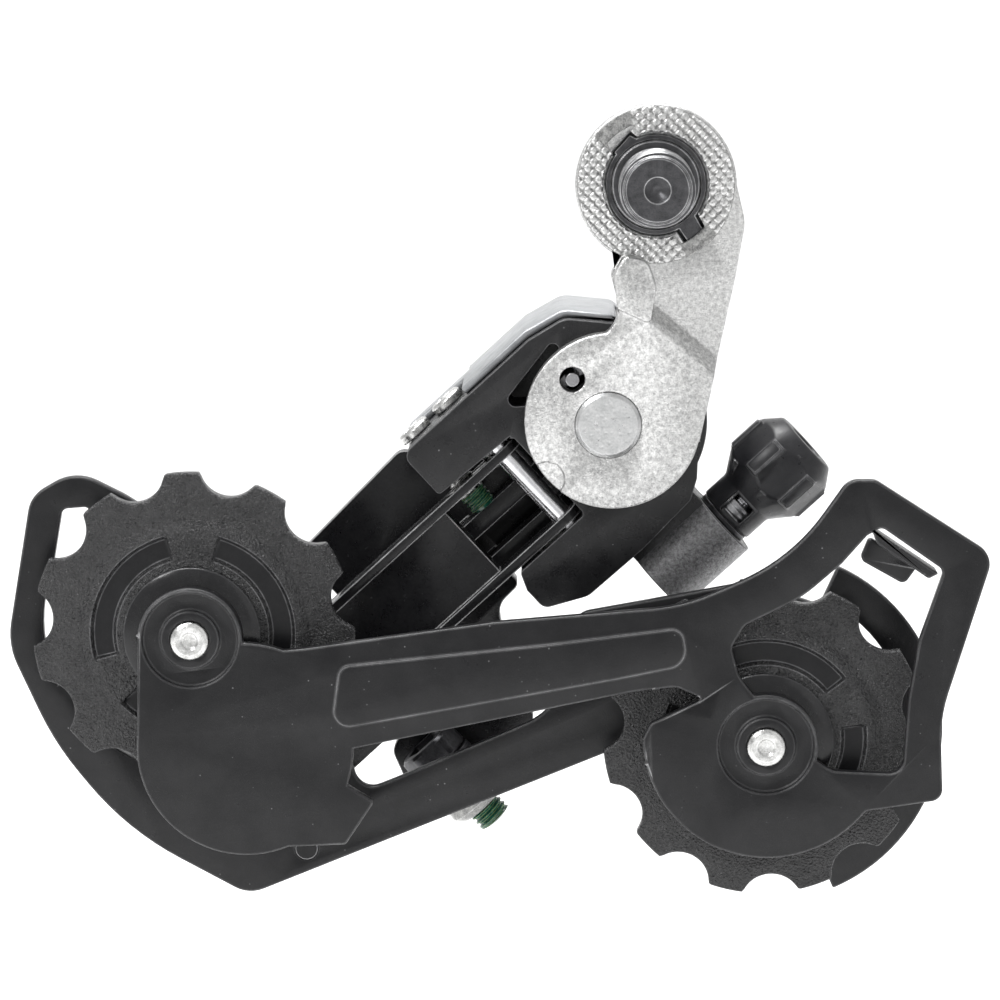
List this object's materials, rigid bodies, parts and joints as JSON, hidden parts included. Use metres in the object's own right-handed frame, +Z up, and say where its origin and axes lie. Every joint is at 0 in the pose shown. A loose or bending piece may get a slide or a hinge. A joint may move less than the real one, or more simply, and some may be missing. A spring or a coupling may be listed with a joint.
{
  "type": "rear bicycle derailleur",
  "caption": "Rear derailleur with a bracket and hanger bolt, sprung parallelogram, sprung two-pulley chain cage, cable adjuster, cable clamp and limit screws.",
  "frame": {"origin": "the hanger bolt's axis in the plane where the bracket seats on the frame's dropout", "axes": "+X to the rear of the bicycle, +Z up, -Y towards the wheel"},
  "size_m": [0.1297, 0.0399, 0.1061],
  "materials": {
    "nickel_plated_steel": "satin plated",
    "black_bolt_steel": "black oxide",
    "rivet_steel": "plated, lightly hammered",
    "black_resin": "satin black with a fine grain",
    "silver_paint": "silver paint",
    "black_cap": "gloss",
    "bronze": "sintered bronze",
    "spring_steel": "oiled",
    "polished_pin": "ground",
    "zinc_screw": "zinc plated",
    "clamp_steel": "zinc plated",
    "knob_plastic": "moulded",
    "black_painted_link": "gloss black",
    "black_painted_cage": "satin black",
    "bush_steel": "sintered",
    "cap_steel": "gloss black",
    "pulley_plastic": "textured glass-filled resin"
  },
  "bodies": {
    "bracket": {"hanger_bracket": "nickel_plated_steel", "bolt_retainer": "black_bolt_steel", "b_axle": "rivet_steel", "b_axle_washer": "zinc_screw", "b_axle_circlip": "black_bolt_steel"},
    "hanger_bolt": {"hanger_bolt": "black_bolt_steel"},
    "b_knuckle": {"b_knuckle_body": "black_resin", "knuckle_cover": "silver_paint", "b_pivot_cap": "black_cap", "b_bushing": "bronze", "b_spring": "spring_steel", "inner_link_upper_pin": "polished_pin", "outer_link_upper_pin": "polished_pin"},
    "high_limit_screw": {"high_limit_screw": "zinc_screw"},
    "low_limit_screw": {"low_limit_screw": "zinc_screw"},
    "adjuster_carrier": {"detent_washer": "zinc_screw", "adjuster_spring": "spring_steel"},
    "adjuster": {"adjuster_stud": "polished_pin", "adjuster_knob": "knob_plastic"},
    "inner_link": {"inner_link": "black_painted_link"},
    "outer_link": {"outer_link": "black_painted_link", "return_spring": "spring_steel", "clamp_nut": "clamp_steel"},
    "clamp_washer": {"clamp_washer": "zinc_screw"},
    "clamp_bolt": {"clamp_bolt": "clamp_steel"},
    "p_knuckle": {"p_knuckle_body": "black_resin", "p_bushing": "bronze", "p_spring": "spring_steel", "p_cap": "black_cap", "inner_link_lower_pin": "polished_pin", "outer_link_lower_pin": "polished_pin"},
    "cage": {"cage_inner_plate": "black_painted_cage", "cage_outer_plate": "black_painted_cage", "p_axle": "rivet_steel", "p_circlip": "black_bolt_steel", "cage_stop_pin": "black_painted_cage", "guide_pulley_bolt": "zinc_screw", "guide_pulley_bush": "bush_steel", "guide_cap_inner": "cap_steel", "guide_cap_outer": "cap_steel", "tension_pulley_bolt": "zinc_screw", "tension_pulley_bush": "bush_steel", "tension_cap_inner": "cap_steel", "tension_cap_outer": "cap_steel"},
    "guide_pulley": {"guide_pulley": "pulley_plastic"},
    "tension_pulley": {"tension_pulley": "pulley_plastic"}
  },
  "joints": [
    {"name": "hanger_bolt_turn", "type": "hinge", "parent": "bracket", "child": "hanger_bolt", "pos_m": [0, 0, 0], "axis": [0, -1, 0], "continuous": true},
    {"name": "b_pivot", "type": "hinge", "parent": "bracket", "child": "b_knuckle", "pos_m": [-0.0062, 0, -0.0318], "axis": [0, 1, 0], "range_deg": [0, 32], "stiffness_Nm_per_rad": 0.25, "springref_deg": -68.75, "deforming": ["b_spring"]},
    {"name": "high_screw_turn", "type": "hinge", "parent": "b_knuckle", "child": "high_limit_screw", "pos_m": [-0.02401, 0.0092, -0.03462], "axis": [-0.6782, 0, 0.7349], "continuous": true},
    {"name": "low_screw_turn", "type": "hinge", "parent": "b_knuckle", "child": "low_limit_screw", "pos_m": [-0.02841, 0.0092, -0.03869], "axis": [-0.6782, 0, 0.7349], "continuous": true},
    {"name": "adjuster_turn", "type": "hinge", "parent": "adjuster_carrier", "child": "adjuster", "pos_m": [0.00737, 0.008, -0.04813], "axis": [0.7349, 0, 0.6782], "range_deg": [0, 1440]},
    {"name": "adjuster_travel", "type": "slide", "parent": "b_knuckle", "child": "adjuster_carrier", "axis": [0.7349, 0, 0.6782], "range_m": [0, 0.0032]},
    {"name": "link_swing", "type": "hinge", "parent": "b_knuckle", "child": "outer_link", "pos_m": [-0.01619, 0.015, -0.04102], "axis": [-0.6782, 0, 0.7349], "range_deg": [0, 48], "stiffness_Nm_per_rad": 0.35, "springref_deg": -57.3, "deforming": ["return_spring"]},
    {"name": "inner_link_swing", "type": "hinge", "parent": "b_knuckle", "child": "inner_link", "pos_m": [-0.01619, 0.004, -0.04102], "axis": [-0.6782, 0, 0.7349], "range_deg": [0, 48]},
    {"name": "p_knuckle_swing", "type": "hinge", "parent": "outer_link", "child": "p_knuckle", "pos_m": [-0.04368, 0.015, -0.06639], "axis": [-0.6782, 0, 0.7349], "range_deg": [-48, 0]},
    {"name": "clamp_turn", "type": "hinge", "parent": "clamp_washer", "child": "clamp_bolt", "pos_m": [-0.02975, 0.013, -0.08075], "axis": [-0.6782, 0, 0.7349], "range_deg": [0, 540]},
    {"name": "clamp_travel", "type": "slide", "parent": "outer_link", "child": "clamp_washer", "axis": [-0.6782, 0, 0.7349], "range_m": [0, 0.0012]},
    {"name": "cage_pivot", "type": "hinge", "parent": "p_knuckle", "child": "cage", "pos_m": [-0.05434, 0, -0.07622], "axis": [0, 1, 0], "range_deg": [0, 135], "stiffness_Nm_per_rad": 0.25, "springref_deg": -68.75, "deforming": ["p_spring"]},
    {"name": "guide_pulley_spin", "type": "hinge", "parent": "cage", "child": "guide_pulley", "pos_m": [-0.0611, -0.0097, -0.0585], "axis": [0, 1, 0], "continuous": true},
    {"name": "tension_pulley_spin", "type": "hinge", "parent": "cage", "child": "tension_pulley", "pos_m": [0.0146, -0.0097, -0.0725], "axis": [0, 1, 0], "continuous": true}
  ],
  "couplings": [
    {"joint": "inner_link_swing", "follows": "link_swing", "ratio": 1},
    {"joint": "p_knuckle_swing", "follows": "link_swing", "ratio": -1},
    {"joint": "adjuster_turn", "follows": "adjuster_travel", "rad_per_m": 7854},
    {"joint": "clamp_turn", "follows": "clamp_travel", "rad_per_m": 7854}
  ]
}
